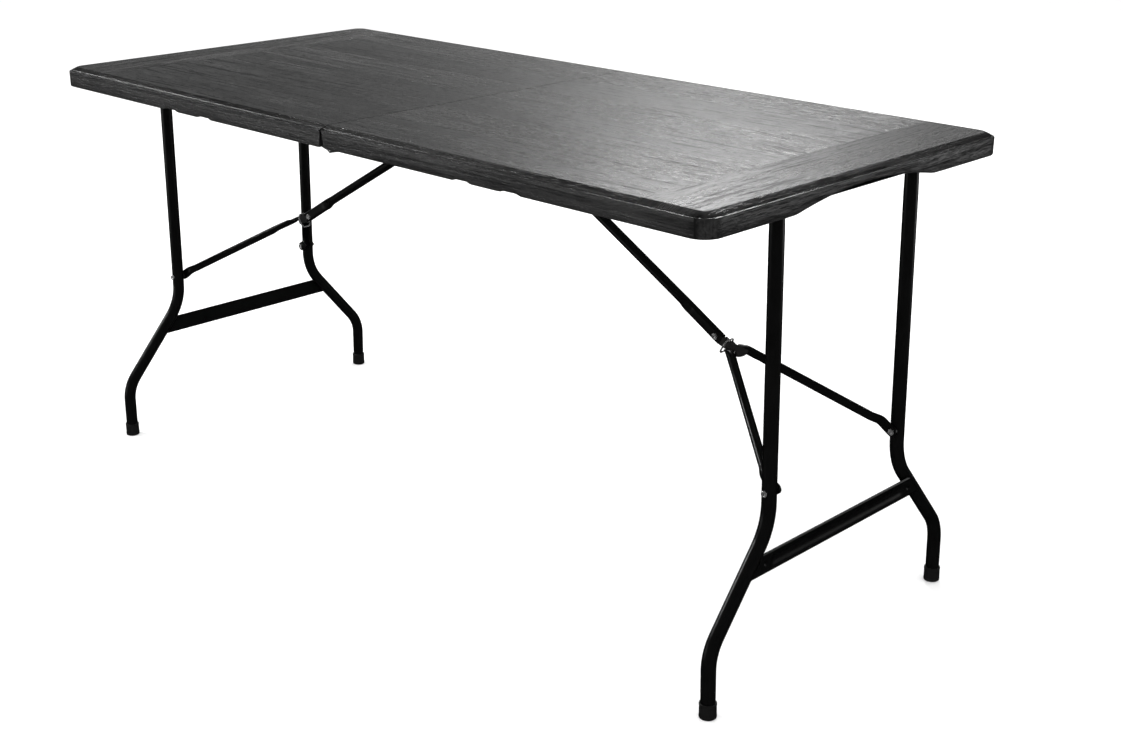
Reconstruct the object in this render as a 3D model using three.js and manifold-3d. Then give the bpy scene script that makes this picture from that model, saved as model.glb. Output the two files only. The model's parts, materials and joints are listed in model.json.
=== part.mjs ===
// A five-foot folding table that folds in half: two moulded tops hinged edge to edge, two steel
// leg frames that fold up under them, and a knee brace with a sliding lock ring for each frame.
// Units are millimetres. +X runs along the table, +Y to its back, +Z up. The origin is on the
// floor below the middle of the top.
import * as THREE from 'three';
import { mergeVertices } from 'three/addons/utils/BufferGeometryUtils.js';
import Module from 'manifold-3d';

const wasm = await Module();
wasm.setup();

// ---- driving dimensions -------------------------------------------------------------------------
const tableLength = 1520;
const tableWidth = 700;
const tableHeight = 740;
const fit = 0.3;                 // gap left between pieces that are fastened together
const turningFit = 0.5;          // gap between pieces that turn in each other

const skirtDepth = 34;           // top surface to the lower edge of the skirt
const skirtWall = 12;
const topWall = 4.8;
const seamGap = 1.6;             // between the two tops
const seamWall = 4.5;
const planCorner = 30;           // plan radius of the two outer corners
const bevelInset = 15;           // bevel round the top surface
const bevelDrop = 6;
const archRise = 17.5;           // relief in the end skirt
const archHalf = 164.5;           // its half width at the skirt's lower edge
const notchDepth = 2.5;          // shallow reliefs in the long skirts
const notchSpans = [[298, 331], [395, 430]];

const foldAxisDrop = 37.5;       // top surface to the axis of the middle hinges
const hingeInset = 16;           // skirt's outer face to the middle hinge's outer leaf
const leafThickness = 2.5;
const leafLength = 90;
const leafEyeRadius = 6.8;
const hingePinRadius = 2.6;
const flangeWidth = 24;

const pivotDrop = 24;            // top surface to every pivot that folds up into the top
const legPivotInset = 34.8;      // end of the table to the leg frame's pivot
const legLean = THREE.MathUtils.degToRad(1.43);
const tubeRadius = 11;
const tubeWall = 1.5;
const legHalfSpacing = 161;      // upper, straight part of the legs
const footHalfSpacing = 290;
const upperBendHeight = 251;
const lowerBendHeight = 100;
const upperBendRadius = 95;
const lowerBendRadius = 70;
const strapGap = 2;              // between a leg and the strap beside it
const crossTubeEnd = 7;          // cross tube past its straps
const capWall = 1.7;
const capHeight = 24;
const capFloor = 3;
const capFit = 0.3;

const stretcherTopHeight = 218.5;
const stretcherHeight = 32;
const stretcherThickness = 2.2;
const stretcherOffset = 9.5;     // leg axis to the stretcher's inner face

const bracePivotInset = 30;      // middle of the table to the brace's pivot
const bracePivotRadius = 6;
const bracePivotHalf = 62;
const braceRivetHeight = 303;    // rivets of the brace on the legs
const braceRadius = 8;
const braceWall = 1.5;
const braceOffset = 3.6;         // brace tube's axis above the line of its pivots, at the knee
const braceStart = -3.4;          // and at its own pivot
const channelHalfWidth = 5;      // flattened end of the brace
const channelLength = 84;        // from the knee up the brace
const channelBeyond = 11;        // from the knee to its open end
const channelWall = 1.6;
const channelBelow = 8.5;        // below the line of the pivots
const channelCorner = 4.5;       // radius of its upper edges

const armRadius = 7;
const armStart = 34;             // from the knee
const armStartHalf = 11.6;
const armLift = 8.5;             // arm axis above the line of the pivots, at its start
const armFlatBelow = 2.7;        // the arm's start is pressed flat between these two heights
const armFlatAbove = 14.5;
const armFlatReach = 72;
const padThickness = 5;          // the arm's flattened end on the leg
const padHalfWidth = 8.5;
const padLength = 30;
const padOverlap = 14;           // round part of the arm that runs into that end
const padGap = 1.5;              // between that end and the leg

const rivetRadius = 3;
const rivetHeadRadius = 5.6;
const rivetHeadHeight = 1.9;
const legRivetHeadRadius = 5;
const legRivetHeadHeight = 3;
const padRivetHeadHeight = 2.6;

const ringSize = 3;              // lock ring's wire
const ringRest = 23;             // from the knee down the brace
const ringSideFit = 1.3;         // past the knee rivet's heads
const ringBelow = 10.6;          // clear height below the line of the pivots, for the tongue

const strapThickness = 1.6;
const strapWidth = 14;
const earGap = 1;                // between a strap's ear and the end skirt
const roundSides = 16;

// ---- what follows from them ---------------------------------------------------------------------
const endX = tableLength / 2;
const frontY = tableWidth / 2;
const skirtBottom = tableHeight - skirtDepth;
const ceiling = tableHeight - topWall;
const pivotZ = tableHeight - pivotDrop;
const foldAxisZ = tableHeight - foldAxisDrop;
const legPivotX = endX - legPivotInset;
const down = (height) => (pivotZ - height) / Math.cos(legLean);
const legRivetDown = down(braceRivetHeight);
const legRivetX = legPivotX + legRivetDown * Math.sin(legLean);
const braceRun = legRivetX - bracePivotInset;
const braceAngle = Math.atan2(pivotZ - braceRivetHeight, braceRun);
const openSpan = Math.hypot(braceRun, pivotZ - braceRivetHeight);
const foldedSpan = legPivotX - legRivetDown - bracePivotInset;
const upperLink = (openSpan + foldedSpan) / 2;
const lowerLink = (openSpan - foldedSpan) / 2;
const channelTop = braceOffset + braceRadius;
const tongueHalf = channelHalfWidth - channelWall - turningFit / 2;
const rivetReach = channelHalfWidth + fit + rivetHeadHeight;
const capRadius = tubeRadius + capFit + capWall;
const legStrapMiddle = legHalfSpacing + tubeRadius + strapGap + strapWidth / 2;
const earLength = legPivotInset - skirtWall - tubeRadius - turningFit - strapThickness - earGap;

// ---- materials ----------------------------------------------------------------------------------
const finish = (color, roughness, metalness) => () =>
  new THREE.MeshStandardMaterial({ color, roughness, metalness });
const mouldedTop = finish(0x3b3b3d, 0.55, 0);
const blackEnamel = finish(0x161617, 0.3, 0.3);
const brightZinc = finish(0xc9cacb, 0.3, 0.95);
const darkSteel = finish(0x2b2b2d, 0.45, 0.7);
const blackPlastic = finish(0x101011, 0.5, 0);

// ---- helpers ------------------------------------------------------------------------------------
function solid(geometry) {
  const bare = geometry.clone();
  bare.deleteAttribute('normal');
  bare.deleteAttribute('uv');
  const merged = mergeVertices(bare, 1e-4);
  return new wasm.Manifold(new wasm.Mesh({
    numProp: 3,
    vertProperties: new Float32Array(merged.attributes.position.array),
    triVerts: new Uint32Array(merged.index.array),
  }));
}

function geometryOf(body) {
  const { vertProperties, triVerts } = body.getMesh();
  const geometry = new THREE.BufferGeometry();
  geometry.setAttribute('position', new THREE.BufferAttribute(new Float32Array(vertProperties), 3));
  geometry.setIndex(new THREE.BufferAttribute(new Uint32Array(triVerts), 1));
  geometry.computeVertexNormals();
  return geometry;
}

// A box between two corners.
function block(low, high) {
  const size = high.map((value, axis) => value - low[axis]);
  const geometry = new THREE.BoxGeometry(...size);
  return geometry.translate(...low.map((value, axis) => value + size[axis] / 2));
}

// A closed outline from [x, y] points.
const outline = (points) => new THREE.Shape(points.map(([x, y]) => new THREE.Vector2(x, y)));

// Points of an arc, both ends included.
function arc(centreX, centreY, radius, from, to, steps) {
  return Array.from({ length: steps + 1 }, (_, i) => {
    const angle = from + (to - from) * i / steps;
    return [centreX + radius * Math.cos(angle), centreY + radius * Math.sin(angle)];
  });
}

function circle(radius, sides) {
  return arc(0, 0, radius, 0, 2 * Math.PI * (1 - 1 / sides), sides - 1);
}

// A rectangle with the same radius on each corner.
function roundedRectangle(lowX, lowY, highX, highY, radius, steps) {
  const quarter = Math.PI / 2;
  return [
    ...arc(highX - radius, highY - radius, radius, 0, quarter, steps),
    ...arc(lowX + radius, highY - radius, radius, quarter, 2 * quarter, steps),
    ...arc(lowX + radius, lowY + radius, radius, 2 * quarter, 3 * quarter, steps),
    ...arc(highX - radius, lowY + radius, radius, 3 * quarter, 4 * quarter, steps),
  ];
}

// An outline of (x, z) points given thickness along Y, from lowY to highY.
function slab(points, lowY, highY, holes = []) {
  const shape = outline(points);
  shape.holes = holes.map((hole) => outline(hole));
  const geometry = new THREE.ExtrudeGeometry(shape, { depth: highY - lowY, bevelEnabled: false });
  return geometry.rotateX(Math.PI / 2).translate(0, highY, 0);
}

// A round bar along Y.
function barY(radius, lowY, highY, sides = roundSides) {
  const geometry = new THREE.CylinderGeometry(radius, radius, highY - lowY, sides);
  return geometry.translate(0, (lowY + highY) / 2, 0);
}

// A path that is known only at its own stations, so that a sweep steps where the path bends.
class StationPath extends THREE.Curve {
  constructor(points) {
    super();
    this.points = points.map((point) => new THREE.Vector3(...point));
  }

  station(share) {
    return Math.round(share * (this.points.length - 1));
  }

  getPointAt(share) {
    return this.points[this.station(share)].clone();
  }

  getPoint(share) {
    return this.getPointAt(share);
  }

  getTangentAt(share) {
    const last = this.points.length - 1;
    const i = this.station(share);
    const before = this.points[i].clone().sub(this.points[Math.max(i - 1, 0)]).normalize();
    const after = this.points[Math.min(i + 1, last)].clone().sub(this.points[i]).normalize();
    return before.add(after).normalize();
  }
}

// A section carried along a path of points, hollow when a wall is given.
function tube(points, radius, wall, sides = roundSides) {
  const section = outline(circle(radius, sides));
  if (wall) {
    section.holes = [outline(circle(radius - wall, sides))];
  }
  const options = { steps: points.length - 1, bevelEnabled: false, extrudePath: new StationPath(points) };
  return new THREE.ExtrudeGeometry(section, options);
}

// Straight runs through (y, z) corners, with an arc of the given radius at each inner corner.
function bentPath(corners, radii, steps = 5) {
  const path = [corners[0]];
  radii.forEach((radius, i) => {
    const corner = new THREE.Vector2(...corners[i + 1]);
    const back = new THREE.Vector2(...corners[i]).sub(corner).normalize();
    const ahead = new THREE.Vector2(...corners[i + 2]).sub(corner).normalize();
    const half = Math.acos(back.dot(ahead)) / 2;
    const centre = back.clone().add(ahead).normalize().multiplyScalar(radius / Math.sin(half)).add(corner);
    const cut = radius / Math.tan(half);
    const start = back.clone().multiplyScalar(cut).add(corner).sub(centre);
    const end = ahead.clone().multiplyScalar(cut).add(corner).sub(centre);
    const turn = Math.atan2(start.cross(end), start.dot(end));
    for (let step = 0; step <= steps; step += 1) {
      const spoke = start.clone().rotateAround(new THREE.Vector2(), turn * step / steps);
      path.push([centre.x + spoke.x, centre.y + spoke.y]);
    }
  });
  path.push(corners[corners.length - 1]);
  return path;
}

// A turned piece along +Y from an outline of (radius, y) points that starts and ends on the axis.
const turned = (points, sides = 12) =>
  new THREE.LatheGeometry(points.map(([r, y]) => new THREE.Vector2(r, y)), sides);

function addMesh(parent, name, geometry, material) {
  const mesh = new THREE.Mesh(geometry, material());
  mesh.name = name;
  parent.add(mesh);
  return mesh;
}

// ---- the moulded top ----------------------------------------------------------------------------
function topPanel() {
  const past = 60;
  const plan = roundedRectangle(-past, -frontY, endX, frontY, planCorner, 6);
  const slabDepth = skirtDepth + past;
  const blank = new THREE.ExtrudeGeometry(outline(plan), {
    depth: slabDepth, bevelThickness: bevelDrop, bevelSize: bevelInset,
    bevelOffset: -bevelInset, bevelSegments: 1,
  });
  blank.translate(0, 0, tableHeight - bevelDrop - slabDepth);
  const recessPlan = roundedRectangle(seamGap / 2 + seamWall, -frontY + skirtWall,
    endX - skirtWall, frontY - skirtWall, planCorner - skirtWall, 4);
  const recess = new THREE.ExtrudeGeometry(outline(recessPlan), { depth: ceiling, bevelEnabled: false });
  let body = solid(blank)
    .subtract(solid(block([-2 * past, -frontY - past, 0], [seamGap / 2, frontY + past, 2 * tableHeight])))
    .subtract(solid(block([-2 * past, -frontY - past, 0], [endX + past, frontY + past, skirtBottom])))
    .subtract(solid(recess));
  const archRadius = (archHalf ** 2 + archRise ** 2) / (2 * archRise);
  const archReach = Math.asin(archHalf / archRadius);
  const up = Math.PI / 2;
  const archOutline = [[archHalf, skirtBottom - past],
    ...arc(0, skirtBottom + archRise - archRadius, archRadius, up - archReach, up + archReach, 20),
    [-archHalf, skirtBottom - past]];
  const arch = new THREE.ExtrudeGeometry(outline(archOutline), { depth: skirtWall * 3, bevelEnabled: false });
  arch.rotateX(Math.PI / 2).rotateZ(Math.PI / 2).translate(endX - 2 * skirtWall, 0, 0);
  body = body.subtract(solid(arch));
  for (const sign of [-1, 1]) {
    for (const [from, to] of notchSpans) {
      const edge = sign * frontY;
      body = body.subtract(solid(block([from, edge - 2 * skirtWall, 0],
        [to, edge + 2 * skirtWall, skirtBottom + notchDepth])));
    }
    const footClear = capRadius + 3;
    const foot = sign * footHalfSpacing;
    body = body.subtract(solid(block([0, foot - footClear, 0],
      [seamWall + 2 * seamGap, foot + footClear, ceiling])));
    const hingeClear = hingeInset + 2 * leafThickness + flangeWidth;
    const spans = [sign * (frontY - skirtWall), sign * (frontY - hingeClear)].sort((a, b) => a - b);
    body = body.subtract(solid(block([0, spans[0], 0], [planCorner, spans[1], ceiling])));
  }
  return geometryOf(body);
}

// A strap that holds a round bar under the top: two ears and a half ring, centred on the bar.
function strap(barRadius, middleY) {
  const inner = barRadius + turningFit;
  const outer = inner + strapThickness;
  const top = ceiling - fit - pivotZ;
  const points = [
    [outer + earLength, top], [inner, top],
    ...arc(0, 0, inner, 0, -Math.PI, 10),
    [-inner, top], [-outer - earLength, top], [-outer - earLength, top - strapThickness],
    [-outer, top - strapThickness],
    ...arc(0, 0, outer, -Math.PI, 0, 10),
    [outer, top - strapThickness], [outer + earLength, top - strapThickness],
  ];
  return slab(points, middleY - strapWidth / 2, middleY + strapWidth / 2);
}

// ---- the leg frame, drawn about its pivot with the legs along -Z ----------------------------------
const upperBend = -down(upperBendHeight);
const lowerBend = -down(lowerBendHeight);
const floorLevel = -down(0);
const slantAngle = Math.atan2(footHalfSpacing - legHalfSpacing, upperBend - lowerBend);

// Half spacing of the leg's axis along its slanted part.
const slantHalf = (level) => legHalfSpacing + (upperBend - level) * Math.tan(slantAngle);

function legPath(sign) {
  const corners = [[legHalfSpacing, -tubeRadius / 2], [legHalfSpacing, upperBend],
    [footHalfSpacing, lowerBend], [footHalfSpacing, floorLevel + capFloor + 1]];
  return bentPath(corners, [upperBendRadius, lowerBendRadius]).map(([y, z]) => [0, sign * y, z]);
}

function legTube(sign) {
  const saddle = solid(barY(tubeRadius + fit, -frontY, frontY, roundSides));
  const hole = barY(rivetRadius + fit, -frontY, frontY, 12).translate(0, 0, -legRivetDown);
  return geometryOf(solid(tube(legPath(sign), tubeRadius, tubeWall)).subtract(saddle)
    .subtract(solid(hole)));
}

function crossTube() {
  const half = legStrapMiddle + strapWidth / 2 + crossTubeEnd;
  return tube([[0, -half, 0], [0, half, 0]], tubeRadius, tubeWall);
}

// A pressed plate whose ends are cut along the slanted legs and hollowed to their tubes.
function stretcher() {
  const top = -down(stretcherTopHeight);
  const bottom = top - stretcherHeight;
  const outside = stretcherOffset + stretcherThickness;
  const points = [[slantHalf(top), top], [slantHalf(bottom), bottom],
    [-slantHalf(bottom), bottom], [-slantHalf(top), top]];
  const plate = new THREE.ExtrudeGeometry(outline(points), {
    depth: stretcherThickness, bevelEnabled: false });
  plate.rotateX(Math.PI / 2).rotateZ(Math.PI / 2).translate(stretcherOffset, 0, 0);
  let body = solid(plate);
  const middle = (top + bottom) / 2;
  for (const sign of [-1, 1]) {
    body = body.subtract(solid(tube(legPath(sign), tubeRadius + fit, 0)));
    const hole = barY(rivetRadius, -outside, outside, 12).rotateZ(Math.PI / 2);
    hole.translate(outside, sign * (slantHalf(middle) - 2 * tubeRadius), middle);
    body = body.subtract(solid(hole));
  }
  return geometryOf(body);
}

// A cup on the end of a leg, cut level with the floor.
function footCap(sign) {
  const bore = tubeRadius + capFit;
  const cup = turned([[0, -2], [capRadius, -2], [capRadius, capHeight], [bore, capHeight],
    [bore, capFloor], [0, capFloor]], roundSides);
  cup.rotateX(Math.PI / 2).translate(0, sign * footHalfSpacing, floorLevel);
  const floor = block([-50, -frontY, -50], [50, frontY, 0]).rotateY(legLean).translate(0, 0, floorLevel);
  return geometryOf(solid(cup).subtract(solid(floor)));
}

// Head outside the leg, shank through both its walls. Drawn along +Y from the leg's inner side.
function legRivet(sign) {
  const inner = legHalfSpacing - tubeRadius - 0.5;
  const outer = legHalfSpacing + tubeRadius + fit;
  const dome = [[legRivetHeadRadius, outer + 1],
    [legRivetHeadRadius * 0.75, outer + legRivetHeadHeight * 0.8],
    [0, outer + legRivetHeadHeight]];
  const rivet = turned([[0, inner], [rivetRadius, inner], [rivetRadius, outer],
    [legRivetHeadRadius, outer], ...dome]);
  return rivet.rotateX(sign > 0 ? 0 : Math.PI).translate(0, 0, -legRivetDown);
}

// ---- the knee brace, drawn with its pivots along +X and +Z towards the top -------------------------
function upperBrace() {
  const joint = upperLink - channelLength;
  const rise = (along) => braceStart + (braceOffset - braceStart) * along / upperLink;
  const pipe = tube([[0, 0, rise(0)], [joint + 4, 0, rise(joint + 4)]], braceRadius, braceWall);
  const shell = (half, low, high, corner) => [[-half, low], [half, low],
    ...arc(half - corner, high - corner, corner, 0, Math.PI / 2, 3),
    ...arc(-half + corner, high - corner, corner, Math.PI / 2, Math.PI, 3)];
  const along = (points, from, to) => new THREE.ExtrudeGeometry(outline(points), {
    depth: to - from, bevelEnabled: false,
  }).rotateX(Math.PI / 2).rotateZ(Math.PI / 2).translate(from, 0, 0);
  const corner = channelCorner;
  const skin = along(shell(channelHalfWidth, -channelBelow, channelTop, corner), joint,
    upperLink + channelBeyond);
  const inside = along(shell(channelHalfWidth - channelWall, -tableHeight / 10, channelTop - channelWall,
    corner - channelWall), joint + channelWall, upperLink + 2 * channelBeyond);
  const earRadius = 6.5;
  const ears = barY(earRadius, -channelHalfWidth, channelHalfWidth).translate(upperLink, 0, 0);
  const eye = barY(rivetRadius + fit, -tableWidth / 4, tableWidth / 4, 12);
  const pivotBar = barY(bracePivotRadius + fit, -bracePivotHalf, bracePivotHalf);
  const bore = tube([[0, 0, rise(0)], [joint + 2 * braceRadius, 0, rise(joint + 2 * braceRadius)]],
    braceRadius - braceWall, 0);
  return geometryOf(solid(pipe).add(solid(skin)).add(solid(ears)).subtract(solid(inside))
    .subtract(solid(bore)).subtract(solid(pivotBar)).subtract(solid(eye.translate(upperLink, 0, 0))));
}

const armRun = lowerLink - padLength - armStart;
const padMiddle = legHalfSpacing - tubeRadius - padGap - padThickness / 2;
const armSpread = Math.atan2(padMiddle - armRadius - armStartHalf, armRun);

// Half width between the two arms at a distance from the knee.
const betweenArms = (along) =>
  armStartHalf + (along - armStart) * Math.tan(armSpread) - armRadius / Math.cos(armSpread);

// A tube from beside the knuckle to a flat pad on the inner side of its leg.
function braceArm(sign) {
  const padStart = lowerLink - padLength;
  const lift = (along) => armLift * (1 - (along - armStart) / (lowerLink - armStart));
  const path = [[armStart, sign * armStartHalf, lift(armStart)],
    [padStart, sign * (padMiddle - armRadius), lift(padStart)],
    [padStart + padOverlap, sign * (padMiddle - 1), lift(padStart + padOverlap)]];
  const square = -Math.PI / 2;
  const padPoints = [...arc(lowerLink, 0, padHalfWidth, square, -square, 8),
    [padStart + 4, lift(padStart + 4) + armRadius - 1], [padStart + 4, lift(padStart + 4) - armRadius + 1]];
  const eye = arc(lowerLink, 0, rivetRadius + fit, 0, 2 * Math.PI * (1 - 1 / 12), 11);
  const edges = [sign * (padMiddle - padThickness / 2), sign * (padMiddle + padThickness / 2)];
  const pad = slab(padPoints, Math.min(...edges), Math.max(...edges), [eye]);
  const padFace = padMiddle + padThickness / 2;
  const beyondPad = block([padStart, sign > 0 ? padFace : -frontY, -tubeRadius],
    [lowerLink + tubeRadius, sign > 0 ? frontY : -padFace, tubeRadius]);
  const press = [block([0, -frontY, -tubeRadius], [armFlatReach, frontY, armFlatBelow]),
    block([0, -frontY, armFlatAbove], [armFlatReach, frontY, 3 * tubeRadius])];
  let body = solid(tube(path, armRadius, 0, 12));
  for (const plate of press) {
    body = body.subtract(solid(plate));
  }
  return geometryOf(body.subtract(solid(beyondPad)).add(solid(pad)));
}

// A tongue that turns in the flattened end, joined to a wedge between the two arms. Folded, the
// tongue lies in the slot of that end and the wedge below it.
function knuckle() {
  const round = 6.5;
  const neck = armStart - 6;
  const clear = channelBeyond + 1;
  const tongueTop = channelTop - channelCorner - fit;
  const blockTop = channelTop - fit * 2;
  const tonguePoints = [...arc(0, 0, round, Math.PI / 2, Math.PI * 1.5, 8), [clear, -round],
    [armStart, -2], [armStart + 4, -2], [armStart + 4, blockTop], [clear + 2, blockTop],
    [clear, tongueTop], [round, tongueTop]];
  const tongue = slab(tonguePoints, -tongueHalf, tongueHalf);
  const wedgeLow = channelBelow + 2 * fit;
  const wedgeEnd = armStart + 17;
  const half = (along) => betweenArms(along) - fit * 1.5;
  const lobe = half(wedgeEnd);
  const wedgePoints = [[neck - 2, -tongueHalf], [neck, -tongueHalf], [armStart, -half(armStart)],
    [wedgeEnd, -lobe], ...arc(wedgeEnd, 0, lobe, -Math.PI / 2.6, Math.PI / 2.6, 6).map(([x, y]) =>
      [wedgeEnd + (x - wedgeEnd) * 0.35, y]), [wedgeEnd, lobe], [armStart, half(armStart)],
    [neck, tongueHalf], [neck - 2, tongueHalf]];
  const wedge = new THREE.ExtrudeGeometry(outline(wedgePoints), {
    depth: armFlatAbove - 1 - wedgeLow, bevelEnabled: false });
  wedge.translate(0, 0, wedgeLow);
  const eye = barY(rivetRadius + fit, -2 * tongueHalf, 2 * tongueHalf, 12);
  return geometryOf(solid(tongue).add(solid(wedge)).subtract(solid(eye)));
}

// A rivet along Y with a head at each end.
function kneeRivet() {
  const seat = channelHalfWidth + fit;
  const edge = rivetHeadRadius * 0.7;
  const rim = 0.6;
  return turned([[0, -rivetReach], [edge, -rivetReach], [rivetHeadRadius, -seat - rim],
    [rivetHeadRadius, -seat], [rivetRadius, -seat], [rivetRadius, seat], [rivetHeadRadius, seat],
    [rivetHeadRadius, seat + rim], [edge, rivetReach], [0, rivetReach]], roundSides);
}

// Head and short shank on the arm's side of the leg rivet.
function padRivet(sign) {
  const face = padMiddle - padThickness / 2 - fit;
  const tip = padMiddle + padThickness / 2;
  const rim = 0.8;
  const rivet = turned([[0, face - padRivetHeadHeight],
    [rivetHeadRadius * 0.6, face - padRivetHeadHeight + rim / 2], [legRivetHeadRadius, face - rim],
    [legRivetHeadRadius, face], [rivetRadius, face], [rivetRadius, tip], [0, tip]]);
  return rivet.rotateX(sign > 0 ? 0 : Math.PI);
}

// A rounded loop of wire around the brace.
function lockRing() {
  const side = rivetReach + ringSideFit;
  const top = channelTop + turningFit;
  const bevel = ringSize * 0.28;
  const loop = (grow) => roundedRectangle(-side - grow, -ringBelow - grow, side + grow, top + grow,
    4 + grow, 4);
  const shape = outline(loop(ringSize - bevel));
  shape.holes = [outline(loop(bevel).reverse())];
  const geometry = new THREE.ExtrudeGeometry(shape, {
    depth: ringSize - 2 * bevel, bevelThickness: bevel, bevelSize: bevel, bevelSegments: 1 });
  return geometry.translate(0, 0, bevel - ringSize / 2).rotateX(Math.PI / 2).rotateZ(Math.PI / 2);
}

// ---- the middle hinge ---------------------------------------------------------------------------
// A leaf on the +X side of the fold, drawn about the fold's axis. Its plate hangs from a flange
// under the top and carries an eye for the pin.
function hingeLeaf(sign, innerFace, outerFace) {
  const top = ceiling - fit - foldAxisZ;
  const shoulder = skirtBottom - foldAxisZ;
  const plate = [[leafLength, top], [3, top], [3, leafEyeRadius],
    ...arc(0, 0, leafEyeRadius, Math.PI * 0.6, Math.PI * 1.5, 7), [24, -1], [leafLength * 0.5, shoulder],
    [leafLength, shoulder + 8]];
  const eye = circle(hingePinRadius + fit, 12);
  const faces = [sign * innerFace, sign * outerFace].sort((a, b) => a - b);
  const web = slab(plate, faces[0], faces[1], [eye]);
  const flangeFaces = [sign * outerFace, sign * (outerFace - flangeWidth)].sort((a, b) => a - b);
  const flange = block([14, flangeFaces[0], top - leafThickness], [leafLength, flangeFaces[1], top]);
  return geometryOf(solid(web).add(solid(flange)));
}

function hingePin(sign, innerFace, outerFace) {
  const head = hingePinRadius * 1.9;
  const low = innerFace - fit;
  const high = outerFace + fit;
  const height = 2;
  const rim = 0.8;
  const pin = turned([[0, low - height], [head * 0.8, low - height], [head, low - rim], [head, low],
    [hingePinRadius, low], [hingePinRadius, high], [head, high], [head, high + rim],
    [head * 0.8, high + height], [0, high + height]]);
  return pin.rotateX(sign > 0 ? 0 : Math.PI);
}

// ---- assembly -----------------------------------------------------------------------------------
// Each half is drawn on the +X side. The left half is the same one given a half turn about Z.
function half(side) {
  const group = new THREE.Group();
  group.rotation.z = side === 'right' ? 0 : Math.PI;
  const place = (sign) => ((sign < 0) === (side === 'right') ? 'front' : 'rear');
  addMesh(group, `${side}_top_panel`, topPanel(), mouldedTop);

  const legs = new THREE.Group();
  legs.position.set(legPivotX, 0, pivotZ);
  legs.rotation.y = -legLean;
  group.add(legs);
  addMesh(legs, `${side}_cross_tube`, crossTube(), blackEnamel);
  addMesh(legs, `${side}_stretcher`, stretcher(), blackEnamel);

  const brace = new THREE.Group();
  brace.position.set(bracePivotInset, 0, pivotZ);
  brace.rotation.y = braceAngle;
  group.add(brace);
  addMesh(brace, `${side}_upper_brace`, upperBrace(), blackEnamel);
  const pivotBar = barY(bracePivotRadius, -bracePivotHalf, bracePivotHalf);
  addMesh(brace, `${side}_brace_pivot_bar`, pivotBar, brightZinc);
  addMesh(brace, `${side}_knee_rivet`, kneeRivet(), brightZinc).position.x = upperLink;
  addMesh(brace, `${side}_lock_ring`, lockRing(), brightZinc).position.x = upperLink + ringRest;

  const lower = new THREE.Group();
  lower.position.x = upperLink;
  brace.add(lower);
  addMesh(lower, `${side}_brace_knuckle`, knuckle(), darkSteel);

  for (const sign of [-1, 1]) {
    const where = `${side}_${place(sign)}`;
    addMesh(legs, `${where}_leg_tube`, legTube(sign), blackEnamel);
    addMesh(legs, `${where}_foot_cap`, footCap(sign), blackPlastic);
    addMesh(legs, `${where}_leg_rivet`, legRivet(sign), brightZinc);
    addMesh(lower, `${where}_brace_arm`, braceArm(sign), blackEnamel);
    addMesh(lower, `${where}_arm_rivet`, padRivet(sign), brightZinc).position.x = lowerLink;

    const legStrap = strap(tubeRadius, sign * legStrapMiddle);
    addMesh(group, `${where}_leg_pivot_strap`, legStrap, darkSteel).position.set(legPivotX, 0, pivotZ);
    const braceStrap = strap(bracePivotRadius, sign * (bracePivotHalf - strapWidth));
    addMesh(group, `${where}_brace_pivot_strap`, braceStrap, darkSteel)
      .position.set(bracePivotInset, 0, pivotZ);
  }
  return group;
}

const group = new THREE.Group();
group.add(half('left'), half('right'));

// The right half's leaf lies outside the left one on both sides of the table.
const outerFace = frontY - hingeInset;
const middleFace = outerFace - leafThickness;
const innerFace = middleFace - fit - leafThickness;
for (const [where, sign] of [['front', -1], ['rear', 1]]) {
  const hinge = new THREE.Group();
  hinge.position.z = foldAxisZ;
  group.add(hinge);
  addMesh(hinge, `${where}_hinge_right_leaf`, hingeLeaf(sign, middleFace, outerFace), darkSteel);
  addMesh(hinge, `${where}_hinge_left_leaf`, hingeLeaf(-sign, innerFace, middleFace - fit), darkSteel)
    .rotation.z = Math.PI;
  addMesh(hinge, `${where}_hinge_pin`, hingePin(sign, innerFace, outerFace), brightZinc);
}

export default group;
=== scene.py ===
import json
import math

import bmesh
import bpy
import numpy as np
from mathutils import Matrix, Vector


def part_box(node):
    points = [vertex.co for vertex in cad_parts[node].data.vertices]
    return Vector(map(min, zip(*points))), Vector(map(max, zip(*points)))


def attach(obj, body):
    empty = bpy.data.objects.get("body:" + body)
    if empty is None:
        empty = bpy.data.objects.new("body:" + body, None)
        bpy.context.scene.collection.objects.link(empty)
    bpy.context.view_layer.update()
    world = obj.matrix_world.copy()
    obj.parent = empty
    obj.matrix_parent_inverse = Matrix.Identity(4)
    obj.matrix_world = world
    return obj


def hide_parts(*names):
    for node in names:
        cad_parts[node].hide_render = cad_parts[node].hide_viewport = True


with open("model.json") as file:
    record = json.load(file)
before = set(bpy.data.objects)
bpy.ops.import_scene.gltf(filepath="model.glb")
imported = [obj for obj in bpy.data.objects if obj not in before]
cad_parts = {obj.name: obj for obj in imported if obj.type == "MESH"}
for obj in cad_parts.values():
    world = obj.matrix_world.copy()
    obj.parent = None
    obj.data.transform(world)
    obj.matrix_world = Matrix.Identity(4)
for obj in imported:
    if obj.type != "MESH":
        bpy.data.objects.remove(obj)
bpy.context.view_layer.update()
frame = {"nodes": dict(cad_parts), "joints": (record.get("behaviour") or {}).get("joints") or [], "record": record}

# ---------------------------------------------------------------------------------------------
# Sizes of this table, in metres, with the places that the frame gives
# ---------------------------------------------------------------------------------------------
MM = 0.001
JOINTS = {joint["name"]: joint for joint in frame["joints"]}
SIDES = {"right": 1.0, "left": -1.0}

panel_low, panel_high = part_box("right_top_panel")
TABLE_END = panel_high.x
TABLE_HALF = panel_high.y
TABLE_TOP = panel_high.z
SEAM = panel_low.x
SKIRT_BOTTOM = panel_low.z
CEILING = TABLE_TOP - 4.8 * MM

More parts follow.
